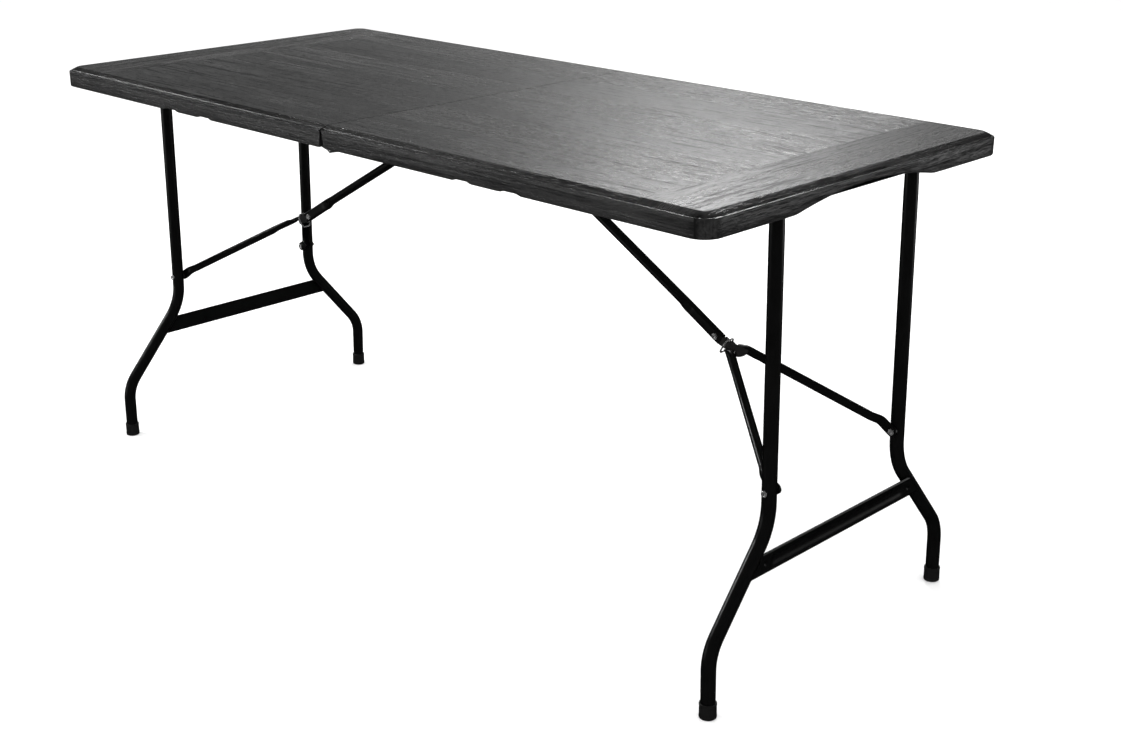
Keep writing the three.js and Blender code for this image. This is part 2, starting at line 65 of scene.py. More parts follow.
LEG_PIVOT = Vector(JOINTS["right_leg_fold"]["pos_m"])
BRACE_PIVOT = Vector(JOINTS["right_brace_lift"]["pos_m"])
KNEE = Vector(JOINTS["right_knee"]["pos_m"])
LEG_LEAN = math.radians(1.43)
BRACE_ANGLE = math.atan2(BRACE_PIVOT.z - KNEE.z, KNEE.x - BRACE_PIVOT.x)
UPPER_LINK = (KNEE - BRACE_PIVOT).length

SKIRT_WALL = 12 * MM
SEAM_WALL = 4.5 * MM
PLAN_CORNER = 30 * MM
BEVEL_INSET = 15 * MM
ARCH_RISE = 17.5 * MM
ARCH_HALF = 164.5 * MM
NOTCH_DEPTH = 2.5 * MM
NOTCH_SPANS = ((298 * MM, 331 * MM), (395 * MM, 430 * MM))
END_BOARD = 106 * MM
PLANK_WIDTH = 112 * MM

TUBE_RADIUS = 11 * MM
TUBE_WALL = 1.5 * MM
LEG_HALF = 161 * MM
FOOT_HALF = 290 * MM
UPPER_BEND = 251 * MM
LOWER_BEND = 100 * MM
UPPER_BEND_RADIUS = 95 * MM
LOWER_BEND_RADIUS = 70 * MM
RIVET_HEIGHT = 303 * MM
RIVET_RADIUS = 5 * MM
SHANK_RADIUS = 3 * MM
# The gap between pieces that lie on each other.
FIT = 0.3 * MM
# How near to an outer face the skirt's own grain begins.
SKIRT_BAND = 1.2 * MM


# ---------------------------------------------------------------------------------------------
# Mesh making
# ---------------------------------------------------------------------------------------------
def placed(name, data):
    """A new object in the scene."""
    made = bpy.data.objects.new(name, data)
    bpy.context.scene.collection.objects.link(made)
    return made


def signed_volume(points, quads):
    """Six times the volume is the sum of a . (b x c) over the two triangles of every quad."""
    a, b, c, d = (points[quads[:, i]] for i in range(4))
    return float((a * np.cross(b, c)).sum() + (a * np.cross(c, d)).sum()) / 6


def mesh_of(name, points, quads, material, smooth_angle=35):
    """A mesh object from points and quads. A quad whose last two corners match is a triangle."""
    if signed_volume(points, quads) < 0:
        quads = quads[:, ::-1]
    corners = quads.astype(np.int32)
    ordered = np.sort(corners, axis=1)
    double = (ordered[:, 1:] == ordered[:, :-1]).any(axis=1)
    faces = corners[~double].tolist()
    faces += [list(dict.fromkeys(face)) for face in corners[double].tolist()]
    mesh = bpy.data.meshes.new(name)
    mesh.from_pydata(points.tolist(), [], faces)
    mesh.update()
    mesh.materials.append(material)
    mesh.polygons.foreach_set("use_smooth", np.ones(len(mesh.polygons), bool))
    mesh.set_sharp_from_angle(angle=math.radians(smooth_angle))
    return placed(name, mesh)


def stacked(*parts):
    """Arrays or numbers side by side along a new last axis, each first spread to a common shape."""
    return np.stack(np.broadcast_arrays(*parts), axis=-1)


def grid_quads(rows, columns, loop_rows=False, loop_columns=True, first=0):
    """Quads of a grid of rows x columns points, which may close on itself either way."""
    i = np.arange(rows if loop_rows else rows - 1)
    j = np.arange(columns if loop_columns else columns - 1)
    i, j = np.meshgrid(i, j, indexing="ij")
    below = i * columns
    above = (i + 1) % rows * columns
    ahead = (j + 1) % columns
    quads = stacked(below + j, below + ahead, above + ahead, above + j)
    return quads.reshape(-1, 4) + first


def skin(rings, loop=False):
    """Points and quads over a stack of closed rings, an array of (ring, point, xyz). With loop the
    last ring joins the first one, else each end is closed by a fan to the middle of its ring."""
    count, size, _ = rings.shape
    points = rings.reshape(-1, 3)
    quads = grid_quads(count, size, loop_rows=loop)
    if loop:
        return points, quads
    poles = np.stack([rings[0].mean(axis=0), rings[-1].mean(axis=0)])
    j = np.arange(size)
    ahead = (j + 1) % size
    start, end = len(points), len(points) + 1
    last = (count - 1) * size
    low = stacked(ahead, j, start, start)
    high = stacked(last + j, last + ahead, end, end)
    return np.concatenate([points, poles]), np.concatenate([quads, low, high])


def joined(parts):
    """Points and quads of several closed surfaces as one."""
    points, quads, offset = [], [], 0
    for part_points, part_quads in parts:
        if signed_volume(part_points, part_quads) < 0:
            part_quads = part_quads[:, ::-1]
        points.append(part_points)
        quads.append(part_quads + offset)
        offset += len(part_points)
    return np.concatenate(points), np.concatenate(quads)


def arc_points(centre, radius, start, end, steps):
    """Points along an arc, both ends included: centre + radius (cos a, sin a)."""
    angle = np.radians(np.linspace(start, end, steps + 1))
    return [(centre[0] + radius * math.cos(a), centre[1] + radius * math.sin(a)) for a in angle]


def turned(profile, sides=40):
    """A surface of revolution about Y: each (radius, y) point of the profile becomes a ring."""
    profile = np.array(profile, float)
    angle = np.arange(sides) * 2 * math.pi / sides
    radius, height = profile[:, :1], profile[:, 1:]
    rings = stacked(radius * np.cos(angle), height, radius * np.sin(angle))
    return skin(rings)


def path_frames(path):
    """Side and up at each point of a path. Side is square to the first tangent, and is carried
    along by taking away its share of each new tangent. Up is tangent x side."""
    tangent = np.gradient(path, axis=0)
    tangent /= np.linalg.norm(tangent, axis=1, keepdims=True)
    seed = np.array([1.0, 0, 0]) if abs(tangent[0][0]) < 0.7 else np.array([0, 1.0, 0])
    side = np.empty_like(path)
    for i, direction in enumerate(tangent):
        seed = seed - direction * seed.dot(direction)
        seed /= np.linalg.norm(seed)
        side[i] = seed
    return side, np.cross(tangent, side)


def round_sections(radii, sides):
    """Circles of the given radii, as (station, point, 2)."""
    angle = np.arange(sides) * 2 * math.pi / sides
    circle = stacked(np.cos(angle), np.sin(angle))
    return np.asarray(radii, float)[:, None, None] * circle[None]


def hollow_tube(path, radius, wall, sides=40):
    """A tube with its bore: rings run out along the outer wall and back along the inner one."""
    lip = wall * 0.3
    stations = np.concatenate([path, path[::-1]])
    side, up = (np.concatenate([axis, axis[::-1]]) for axis in path_frames(path))
    radii = np.concatenate([np.full(len(path), radius), np.full(len(path), radius - wall)])
    radii[[0, len(path) - 1]] -= lip
    radii[[len(path), -1]] += lip
    circle = round_sections(radii, sides)
    rings = stations[:, None] + circle[:, :, :1] * side[:, None] + circle[:, :, 1:] * up[:, None]
    return skin(rings, loop=True)


def bent_path(corners, radii, steps=14, spacing=30 * MM):
    """Straight runs through corners of a plane, with an arc of the given radius at each bend. Long
    runs are cut into equal steps no shorter than spacing."""
    corners = [np.array(corner, float) for corner in corners]
    points = [corners[0]]
    for i, radius in enumerate(radii):
        corner = corners[i + 1]
        back = corners[i] - corner
        ahead = corners[i + 2] - corner
        back /= np.linalg.norm(back)
        ahead /= np.linalg.norm(ahead)
        half = math.acos(back.dot(ahead)) / 2
        middle = back + ahead
        centre = corner + middle / np.linalg.norm(middle) * radius / math.sin(half)
        spoke = corner + back * radius / math.tan(half) - centre
        end = corner + ahead * radius / math.tan(half) - centre
        turn = math.atan2(spoke[0] * end[1] - spoke[1] * end[0], spoke.dot(end))
        for angle in np.linspace(0, turn, steps + 1):
            c, s = math.cos(angle), math.sin(angle)
            points.append(centre + [spoke[0] * c - spoke[1] * s, spoke[0] * s + spoke[1] * c])
    points.append(corners[-1])
    dense = [points[0]]
    for a, b in zip(points, points[1:]):
        count = max(1, int(np.linalg.norm(b - a) / spacing))
        dense += [a + (b - a) * k / count for k in range(1, count + 1)]
    return np.array(dense)


def smooth_step(low, high, value):
    """0 below low, 1 above high, 3t^2 - 2t^3 in between."""
    t = np.clip((value - low) / (high - low), 0, 1)
    return t * t * (3 - 2 * t)


def value_noise(x, y, seed):
    """Smooth random heights between 0 and 1 on a unit lattice, blended by smooth steps."""
    table = np.random.default_rng(seed).random((256, 256))
    xi, yi = np.floor(x).astype(int), np.floor(y).astype(int)
    tx, ty = (smooth_step(0, 1, v - np.floor(v)) for v in (x, y))

    def row(j):
        return table[xi % 256, j % 256] * (1 - tx) + table[(xi + 1) % 256, j % 256] * tx

    return row(yi) * (1 - ty) + row(yi + 1) * ty


# ---------------------------------------------------------------------------------------------
# Shader maths
# ---------------------------------------------------------------------------------------------
class Shade:
    """One socket of a node tree, with Python's operators for its maths."""

    def __init__(self, tree, socket):
        self.tree = tree
        self.socket = socket

    def node(self, kind, settings=None, inputs=None, output=0):
        """Adds a node, sets its settings, then links or sets its inputs. Gives an output."""
        made = self.tree.nodes.new(kind)
        for key, value in (settings or {}).items():
            setattr(made, key, value)
        for key, value in (inputs or {}).items():
            if isinstance(value, Shade):
                self.tree.links.new(value.socket, made.inputs[key])
            else:
                made.inputs[key].default_value = value
        return Shade(self.tree, made.outputs[output])

    def maths(self, operation, *values, clamp=False):
        return self.node("ShaderNodeMath", {"operation": operation, "use_clamp": clamp},
                         dict(enumerate(values)))

    def __add__(self, other):
        return self.maths("ADD", self, other)

    def __sub__(self, other):
        return self.maths("SUBTRACT", self, other)

    def __rsub__(self, other):
        return self.maths("SUBTRACT", other, self)

    def __mul__(self, other):
        return self.maths("MULTIPLY", self, other)

    __radd__ = __add__
    __rmul__ = __mul__

    def __truediv__(self, other):
        return self.maths("DIVIDE", self, other)

    def __gt__(self, other):
        return self.maths("GREATER_THAN", self, other)

    def __abs__(self):
        return self.maths("ABSOLUTE", self)

    def floor(self):
        return self.maths("FLOOR", self)

    def clamped(self):
        """This value held between 0 and 1."""
        return self.maths("ADD", self, 0.0, clamp=True)

    def between(self, low, high):
        """Smooth step from 0 at low to 1 at high."""
        return self.node("ShaderNodeMapRange", {"interpolation_type": "SMOOTHSTEP"},
                         {"Value": self, "From Min": low, "From Max": high})

    def blend(self, low, high):
        """Value between low and high by this factor."""
        return self.node("ShaderNodeMix", {"data_type": "FLOAT"}, {0: self, 2: low, 3: high})

    def colours(self, low, high):
        """Colour between low and high by this factor."""
        inputs = {0: self, 6: low, 7: high}
        return self.node("ShaderNodeMix", {"data_type": "RGBA"}, inputs, output=2)


def new_material(name, **constants):
    """A material with a Principled shader and its constant sockets. Gives the material, the
    shader node and a Shade of the object coordinates."""
    material = bpy.data.materials.new(name)
    material.use_nodes = True
    tree = material.node_tree
    shader = tree.nodes["Principled BSDF"]
    for key, value in constants.items():
        shader.inputs[key.replace("_", " ")].default_value = value
    place = tree.nodes.new("ShaderNodeTexCoord")
    return material, shader, Shade(tree, place.outputs["Object"])


def feed(shader, socket, value):
    """Links a value to one of the shader's sockets."""
    value.tree.links.new(value.socket, shader.inputs[socket])


def bump(height, strength, distance):
    """The normal of a surface that a height stands on."""
    return height.node("ShaderNodeBump", None,
                       {"Height": height, "Strength": strength, "Distance": distance})


def split(place):
    """X, Y and Z of a vector."""
    made = place.node("ShaderNodeSeparateXYZ", None, {0: place})
    outputs = made.socket.node.outputs
    return [Shade(place.tree, outputs[i]) for i in range(3)]


def vector(x, y, z):
    source = next(value for value in (x, y, z) if isinstance(value, Shade))
    return source.node("ShaderNodeCombineXYZ", None, {0: x, 1: y, 2: z})


def noise(place, scale, detail=3.0, roughness=0.5, distortion=0.0):
    inputs = {"Vector": place, "Scale": scale, "Detail": detail, "Roughness": roughness,
              "Distortion": distortion}
    return place.node("ShaderNodeTexNoise", None, inputs)


def grey(value):
    return (value, value, value, 1)


# ---------------------------------------------------------------------------------------------
# Materials
# ---------------------------------------------------------------------------------------------
def moulded_wood():
    """Charcoal moulded plastic with a wood relief. The grain runs along the planks on the field,
    across the table on the two end boards, and level along each skirt. Every plank shifts and
    tints the pattern. Noise drawn out along the grain gives broad bands, narrow dark streaks and
    fibres, a bent ring pattern gives the cathedral figure, and dashes of noise give the pores."""
    material, shader, place = new_material("moulded_charcoal_wood", Specular_IOR_Level=0.5)
    x, y, z = split(place)
    end_board = abs(x) > TABLE_END - BEVEL_INSET - END_BOARD
    end_skirt = abs(x) > TABLE_END - SKIRT_BAND
    long_skirt = abs(y) > TABLE_HALF - SKIRT_BAND
    skirt = end_skirt.maths("MAXIMUM", end_skirt, long_skirt)
    crosswise = end_board.maths("MAXIMUM", end_board, end_skirt) * (1 - long_skirt)
    along = crosswise.blend(x, y)
    across = skirt.blend(crosswise.blend(y, x), z * 2.0)
    plank = (across / PLANK_WIDTH).floor() + crosswise * 31 + (x > 0) * 17 + skirt * 7
    chance = plank.node("ShaderNodeTexWhiteNoise", {"noise_dimensions": "1D"}, {"W": plank})
    shifted = along + chance * 3.1
    warp = noise(vector(shifted * 2.0, across * 7.0, chance * 5.0), 1.0, 2.0) - 0.5
    bent = across + warp * 0.022
    bands = noise(vector(shifted * 3.2, bent * 42.0, chance * 9.0), 1.0, 5.0, 0.64)
    streak = noise(vector(shifted * 6.5, bent * 125.0, chance * 6.0), 1.0, 4.0, 0.66).between(0.51, 0.65)
    rings = noise(vector(shifted * 0.55, across * 5.0 + warp * 0.6, chance * 4.0), 2.0, 1.0) * 13.0
    ring = abs((rings - rings.floor()) * 2.0 - 1.0).between(0.78, 1.0)
    figure = ring * noise(vector(shifted * 3.0, across * 12.0, chance), 1.0, 2.0).between(0.48, 0.62)
    fibre = noise(vector(shifted * 46.0, bent * 300.0, z * 300.0), 1.0, 3.0, 0.7)
    pore = noise(vector(shifted * 60.0, bent * 520.0, chance * 7.0), 1.0, 1.0).between(0.55, 0.68)
    tone = bands * 0.62 + fibre * 0.38 + (chance - 0.5) * 0.16
    tone = tone.between(0.34, 0.66) - streak * 0.42 - figure * 0.28 - pore * 0.25
    colour = tone.clamped().colours((0.0045, 0.0046, 0.0047, 1), (0.0265, 0.0262, 0.0260, 1))
    feed(shader, "Base Color", colour)
    smear = noise(place, 5.0, 3.0)
    rough = 0.285 + smear * 0.05 - tone * 0.06 + streak * 0.22 + pore * 0.20
    feed(shader, "Roughness", rough.clamped())
    height = bands * 0.5 + fibre * 0.8 - streak * 0.7 - figure * 0.45 - pore * 0.6
    feed(shader, "Normal", bump(height, 0.75, 0.5 * MM))
    return material


def underside_plastic():
    """The tops' plain moulded inside: a fine blasted texture with faint flow marks."""
    material, shader, place = new_material("moulded_underside", Specular_IOR_Level=0.4)
    grit = noise(place, 900.0, 2.0, 0.7)
    flow = noise(place, 7.0, 4.0, 0.6, 1.2)
    feed(shader, "Base Color", flow.colours(grey(0.020), grey(0.034)))
    feed(shader, "Roughness", (0.55 + flow * 0.15).clamped())
    feed(shader, "Normal", bump(grit, 0.25, 0.2 * MM))
    return material


def black_enamel():
    """Gloss powder coat: an orange-peel skin with faint drifts in its gloss and thin scuffs."""
    material, shader, place = new_material("black_powder_coat", Specular_IOR_Level=0.28,
                                           Coat_Roughness=0.12)
    peel = noise(place, 420.0, 2.0, 0.5)
    drift = noise(place, 18.0, 3.0, 0.6)
    x, y, z = split(place)
    scuff = noise(vector(x * 60.0, y * 60.0, z * 900.0), 1.0, 2.0, 0.6).between(0.70, 0.80)
    feed(shader, "Base Color", drift.colours(grey(0.0012), grey(0.0035)))
    feed(shader, "Roughness", (0.24 + drift * 0.12 + scuff * 0.12).clamped())
    feed(shader, "Coat Weight", (0.15 - scuff * 0.12).clamped())
    feed(shader, "Normal", bump(peel, 0.10, 0.15 * MM))
    return material


def hinge_steel():
    """Dark satin coated steel with fine grit and a slight bronze drift."""
    material, shader, place = new_material("dark_satin_steel", Specular_IOR_Level=0.5)
    grit = noise(place, 700.0, 3.0, 0.7)
    drift = noise(place, 35.0, 3.0, 0.6)
    feed(shader, "Base Color", drift.colours((0.010, 0.010, 0.011, 1), (0.024, 0.023, 0.022, 1)))
    feed(shader, "Metallic", 0.25 + drift * 0.25)
    feed(shader, "Roughness", (0.30 + grit * 0.14).clamped())
    feed(shader, "Normal", bump(grit, 0.14, 0.15 * MM))
    return material


def bright_zinc():
    """Zinc plate: spangled grey with drawing lines and dull spots."""
    material, shader, place = new_material("bright_zinc_plate", Metallic=0.9)
    x, y, z = split(place)
    line = noise(vector(x * 1400.0, y * 180.0, z * 1400.0), 1.0, 2.0, 0.6)
    spangle = noise(place, 260.0, 2.0, 0.5)
    dull = noise(place, 90.0, 3.0, 0.6).between(0.55, 0.75)
    feed(shader, "Base Color", spangle.colours(grey(0.58), grey(0.80)))
    feed(shader, "Roughness", (0.20 + spangle * 0.10 + dull * 0.18).clamped())
    feed(shader, "Normal", bump(line, 0.12, 0.1 * MM))
    return material


def foot_plastic():
    """Black moulded foot caps: a soft satin skin with a fine grain and floor dust low down."""
    material, shader, place = new_material("foot_cap_plastic", Specular_IOR_Level=0.45)
    z = split(place)[2]
    skin_grain = noise(place, 800.0, 2.0, 0.6)
    low = 1 - z.between(0.0, 7 * MM)
    dust = noise(place, 120.0, 4.0, 0.7).between(0.52, 0.72) * low
    feed(shader, "Base Color", dust.colours(grey(0.006), grey(0.030)))
    feed(shader, "Roughness", (0.36 + skin_grain * 0.10 + dust * 0.3).clamped())
    feed(shader, "Normal", bump(skin_grain, 0.14, 0.15 * MM))
    return material


INSIDE = underside_plastic()
FINISH = {"moulded_top": moulded_wood(), "leg_enamel": black_enamel(), "hinge_steel": hinge_steel(),
          "bright_zinc": bright_zinc(), "foot_plastic": foot_plastic()}


def settle(piece, body, slot, *nodes):
    """The last step of every piece: its body, its slot, which is not used here, and the nodes
    that it stands for."""
    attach(piece, body)
    if nodes:
        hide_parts(*nodes)
    return piece


def stand_in(node, ending, body, slot, surface, smooth_angle=35):
    """The piece that takes a node's place, named for it, in its slot's finish. The surface is its
    points and quads."""
    piece = mesh_of(f"{node}_{ending}", *surface, FINISH[slot], smooth_angle)
    return settle(piece, body, slot, node)


def half_turned(points, side):
    """A half is worked out on the +X side, and the left one is given a half turn about Z."""
    return points * np.array([SIDES[side], SIDES[side], 1.0])


def place_name(side, sign):
    """Front or rear, for a piece drawn at sign * y on the +X side."""
    return "front" if sign * SIDES[side] < 0 else "rear"


def on_leg(points, side):
    """From leg coordinates, with the legs along -Z from their pivot, to the table's."""
    turn = np.array(Matrix.Rotation(-LEG_LEAN, 3, "Y"))
    return half_turned(points @ turn.T + np.array(LEG_PIVOT), side)


def on_brace(points, side, along=0.0):
    """From brace coordinates, with its pivots along +X, to the table's."""
    turn = np.array(Matrix.Rotation(BRACE_ANGLE, 3, "Y"))
    return half_turned((points + np.array([along, 0, 0])) @ turn.T + np.array(BRACE_PIVOT), side)


def down(height):
    """Distance along a leg from its pivot to a height."""
    return (LEG_PIVOT.z - height) / math.cos(LEG_LEAN)


# ---------------------------------------------------------------------------------------------
# The moulded tops
# ---------------------------------------------------------------------------------------------
PANEL_STEPS = (150, 232)
CORNER_STEPS = 9
SKIRT_DROP = 8.0 * MM
SEAM_WALL_HALF = 271 * MM
# Inset and drop of each ring, in mm, from the bevel over a level ledge to the skirt's face.
RIM_PROFILE = [(14.2, 0.25), (10.8, 1.75), (7.6, 3.2), (5.8, 4.1), (5.2, 4.7), (4.95, 5.5),
               (4.8, 6.2), (4.5, 6.42), (1.1, 6.56), (0.6, 6.72), (0.2, 7.1), (0.0, 8.0)]


def plan_grid(start, end, half, corner):
    """A rectangle whose two far corners are round, as a grid: x runs to the end, and at each x the
    y values are shares of the half width there, which falls away along the corner's arc."""
    steps, rows = PANEL_STEPS
    straight = np.linspace(start, end - corner, steps - CORNER_STEPS + 1)
    turn = np.radians(np.linspace(0, 90, CORNER_STEPS + 1))[1:]
    x = np.concatenate([straight, end - corner + corner * np.sin(turn)])
    reach = np.concatenate([np.full(len(straight), half), half - corner + corner * np.cos(turn)])
    share = np.linspace(-1, 1, rows + 1)
    return np.repeat(x[:, None], rows + 1, axis=1), reach[:, None] * share[None]


def rim_indices():
    """The grid's outline in order: front edge, end, rear edge, seam."""
    steps, rows = PANEL_STEPS
    i, j = np.arange(steps + 1), np.arange(rows + 1)
    front = stacked(i, 0)
    end = stacked(steps, j)[1:]
    rear = stacked(i[::-1], rows)[1:]
    seam = stacked(0, j[::-1])[1:-1]
    return np.concatenate([front, end, rear, seam])


def lower_edge(x, y, on_seam, on_end):
    """Height of the skirt's lower edge round the rim: an arch on the end skirt, reliefs on the
    long ones, and openings in the seam wall for the feet and the hinges."""
    y_abs = np.abs(y)
    radius = (ARCH_HALF ** 2 + ARCH_RISE ** 2) / (2 * ARCH_RISE)
    arch = ARCH_RISE - radius + np.sqrt(radius ** 2 - y ** 2)
    foot = 1.2 * MM
    eased = (arch + np.sqrt(arch ** 2 + foot ** 2)) / 2
    height = SKIRT_BOTTOM + on_end * np.minimum(eased, ARCH_RISE) * (y_abs < ARCH_HALF + 25 * MM)
    for low, high in NOTCH_SPANS:
        edge = 2.5 * MM
        inside = smooth_step(low - edge, low + edge, x) * (1 - smooth_step(high - edge, high + edge, x))
        height = height + NOTCH_DEPTH * inside * (1 - on_end) * (1 - on_seam)
    opening = smooth_step(SEAM_WALL_HALF, SEAM_WALL_HALF + 3 * MM, y_abs) * on_seam
    return height + (CEILING - height - 0.4 * MM) * opening


def plank_relief(x, y):
    """Depth of the top's relief below its plane: grooves between the planks, a groove at each end
    board, and long soft ridges of grain that run with the wood."""
    board = TABLE_END - BEVEL_INSET - END_BOARD
    on_board = (np.abs(x) > board).astype(float)
    gap = np.abs(y / PLANK_WIDTH - np.round(y / PLANK_WIDTH)) * PLANK_WIDTH
    joint = np.exp(-(gap / (1.6 * MM)) ** 2) * (1 - on_board)
    end_joint = np.exp(-((np.abs(x) - board) / (1.8 * MM)) ** 2)
    along = np.where(on_board > 0, y, x)
    across = np.where(on_board > 0, x, y)
    coarse = value_noise(along * 9, across * 95, 11)
    fine = value_noise(along * 22, across * 190, 12)
    bend = value_noise(along * 4, across * 30, 13)
    ridge = 0.5 + 0.5 * np.sin(across * 420 + bend * 7)
    grain = 0.08 * coarse + 0.06 * fine + 0.06 * ridge * bend
    return MM * (0.35 * joint + 0.5 * end_joint + grain)


def kiss_off(x, y):
    """Height of the underside's pattern: round dimples on a staggered pitch."""
    pitch = 46 * MM
    row = np.round(y / pitch)
    shifted = x / pitch + 0.5 * (row % 2)
    distance = np.hypot((shifted - np.round(shifted)) * pitch, y - row * pitch)
    return 1.6 * MM * (1 - smooth_step(7 * MM, 13 * MM, distance))


def top_panel(side):
    """A shell. The grid of its top is joined at its rim to a profile that is carried round the
    panel: bevel, ledge, skirt, lower edge and inner wall, up to the grid of its underside."""
    rim = rim_indices()
    steps, rows = PANEL_STEPS
    on_seam = (rim[:, 0] == 0).astype(float)
    on_end = (rim[:, 0] == steps).astype(float)

    def ring(inset, seam_inset, height):
        corner = max(PLAN_CORNER - inset, 2 * MM)
        x, y = plan_grid(SEAM + seam_inset, TABLE_END - inset, TABLE_HALF - inset, corner)
        x, y = (grid[rim[:, 0], rim[:, 1]] for grid in (x, y))
        return stacked(x, y, height)

    x, y = plan_grid(SEAM, TABLE_END - BEVEL_INSET, TABLE_HALF - BEVEL_INSET, PLAN_CORNER - BEVEL_INSET)
    edge = np.minimum(TABLE_END - BEVEL_INSET - x, TABLE_HALF - BEVEL_INSET - np.abs(y))
    calm = smooth_step(-1 * MM, 4 * MM, edge)
    depth = plank_relief(x * SIDES[side], y * SIDES[side]) * calm
    top = stacked(x, y, TABLE_TOP - depth)

    skirt_x, skirt_y = ring(0, 0, 0)[:, :2].T
    lower = lower_edge(skirt_x, skirt_y, on_seam, on_end)
    rings = [ring(inset * MM, 0, TABLE_TOP - drop * MM) for inset, drop in RIM_PROFILE]
    skirt_top = TABLE_TOP - SKIRT_DROP
    for share in (0.33, 0.66):
        rings.append(ring(0, 0, skirt_top + (lower + 1.6 * MM - skirt_top) * share))
    rings.append(ring(0, 0, lower + 1.6 * MM))
    rings.append(ring(0.45 * MM, 0.2 * MM, lower + 0.5 * MM))
    rings.append(ring(1.6 * MM, 0.7 * MM, lower))
    rings.append(ring(SKIRT_WALL - 1.4 * MM, SEAM_WALL - 0.7 * MM, lower))
    rings.append(ring(SKIRT_WALL - 0.3 * MM, SEAM_WALL - 0.2 * MM, lower + 0.6 * MM))
    inner = np.maximum(lower + 1.6 * MM, SKIRT_BOTTOM)
    rings.append(ring(SKIRT_WALL, SEAM_WALL, np.minimum(inner, CEILING - 0.2 * MM)))
    rings.append(ring(SKIRT_WALL, SEAM_WALL, CEILING - 0.1 * MM))
    wall = np.concatenate(rings)

    x, y = plan_grid(SEAM + SEAM_WALL, TABLE_END - SKIRT_WALL, TABLE_HALF - SKIRT_WALL,
                     PLAN_CORNER - SKIRT_WALL)
    edge = np.minimum(TABLE_END - SKIRT_WALL - x, TABLE_HALF - SKIRT_WALL - np.abs(y))
    edge = np.minimum(edge, x - SEAM - SEAM_WALL)
    pattern = kiss_off(x, y) * smooth_step(4 * MM, 16 * MM, edge)
    under = stacked(x, y, CEILING + pattern)

    columns = rows + 1
    count = (steps + 1) * columns
    size = len(rim)
    top_rim = rim[:, 0] * columns + rim[:, 1]
    under_first = count + len(wall)
    ladder = [top_rim] + [count + k * size + np.arange(size) for k in range(len(rings))]
    ladder.append(under_first + top_rim)
    quads = [grid_quads(steps + 1, columns, loop_columns=False)]
    for upper, next_down in zip(ladder, ladder[1:]):
        quads.append(stacked(np.roll(upper, -1), upper, next_down, np.roll(next_down, -1)))
    quads.append(grid_quads(steps + 1, columns, loop_columns=False, first=under_first)[:, ::-1])
    points = np.concatenate([top.reshape(-1, 3), wall, under.reshape(-1, 3)])
    quads = np.concatenate(quads)
    wood = FINISH["moulded_top"]
    piece = mesh_of(f"{side}_moulded_top", half_turned(points, side), quads, wood, 30)
    piece.data.materials.append(INSIDE)
    inside_first = count + (len(rings) - 1) * size
    lowest = quads.min(axis=1)
    finish = (lowest >= inside_first - 2 * size).astype(np.int32)
    piece.data.polygons.foreach_set("material_index", finish[:len(piece.data.polygons)])
    return settle(piece, f"{side}_half", "moulded_top", f"{side}_top_panel")


# ---------------------------------------------------------------------------------------------
# Leg frames
# ---------------------------------------------------------------------------------------------
SLANT = math.atan2(FOOT_HALF - LEG_HALF, down(LOWER_BEND) - down(UPPER_BEND))
STRETCHER_TOP = 218.5 * MM
STRETCHER_HEIGHT = 32 * MM
STRETCHER_OFFSET = 9.5 * MM
STRETCHER_THICKNESS = 2.2 * MM
LEG_START = 10.4 * MM
CAP_RADIUS = 13 * MM
CAP_HEIGHT = 24 * MM


def leg_line(sign):
    """Middle line of a leg in leg coordinates: straight, slanted outwards, and straight again."""
    corners = [(LEG_HALF, -LEG_START), (LEG_HALF, -down(UPPER_BEND)),
               (FOOT_HALF, -down(LOWER_BEND)), (FOOT_HALF, -down(4 * MM))]
    flat = bent_path(corners, [UPPER_BEND_RADIUS, LOWER_BEND_RADIUS])
    return stacked(0.0, sign * flat[:, 0], flat[:, 1])


def leg_tube(side, sign):
    """A bent tube with its bore. Its top end is cut to a saddle for the cross tube."""
    points, quads = hollow_tube(leg_line(sign), TUBE_RADIUS, TUBE_WALL, 48)
    near_top = points[:, 2] > -14 * MM
    saddle = np.sqrt(np.maximum((TUBE_RADIUS + FIT) ** 2 - points[:, 0] ** 2, 0))
    points[:, 2] = np.where(near_top, np.minimum(points[:, 2], -saddle), points[:, 2])
    name = f"{side}_{place_name(side, sign)}_leg_tube"
    surface = (on_leg(points, side), quads)
    return stand_in(name, "smooth", f"{side}_leg_frame", "leg_enamel", surface)


def foot_cap(side, sign):
    """A moulded cup with a soft lip and a rounded sole, trimmed level with the floor."""
    radius, bore, height = CAP_RADIUS, TUBE_RADIUS + FIT, CAP_HEIGHT
    outside = [(0, -1 * MM), (radius * 0.8, -1 * MM), (radius - 1.2 * MM, 0.1 * MM),
               (radius - 0.35 * MM, 1.0 * MM), (radius, 2.4 * MM), (radius - 0.25 * MM, 8 * MM),
               (radius - 0.35 * MM, height - 5.2 * MM), (radius - 0.3 * MM, height - 4.2 * MM),
               (radius - 0.02 * MM, height - 3.6 * MM)]
    lip = [(radius, height - 1.4 * MM), (radius - 0.3 * MM, height - 0.5 * MM),
           (radius - 0.8 * MM, height - 0.1 * MM), (bore + 0.25 * MM, height - 0.2 * MM),
           (bore, height - 0.8 * MM), (bore, 4 * MM), (0, 4 * MM)]
    points, quads = turned(outside + lip, 56)
    upright = stacked(points[:, 0], points[:, 2] + sign * FOOT_HALF, points[:, 1] - down(0))
    world = on_leg(upright, side)
    world[:, 2] = np.maximum(world[:, 2], 0)
    name = f"{side}_{place_name(side, sign)}_foot_cap"
    return stand_in(name, "moulded", f"{side}_leg_frame", "foot_plastic", (world, quads), 40)


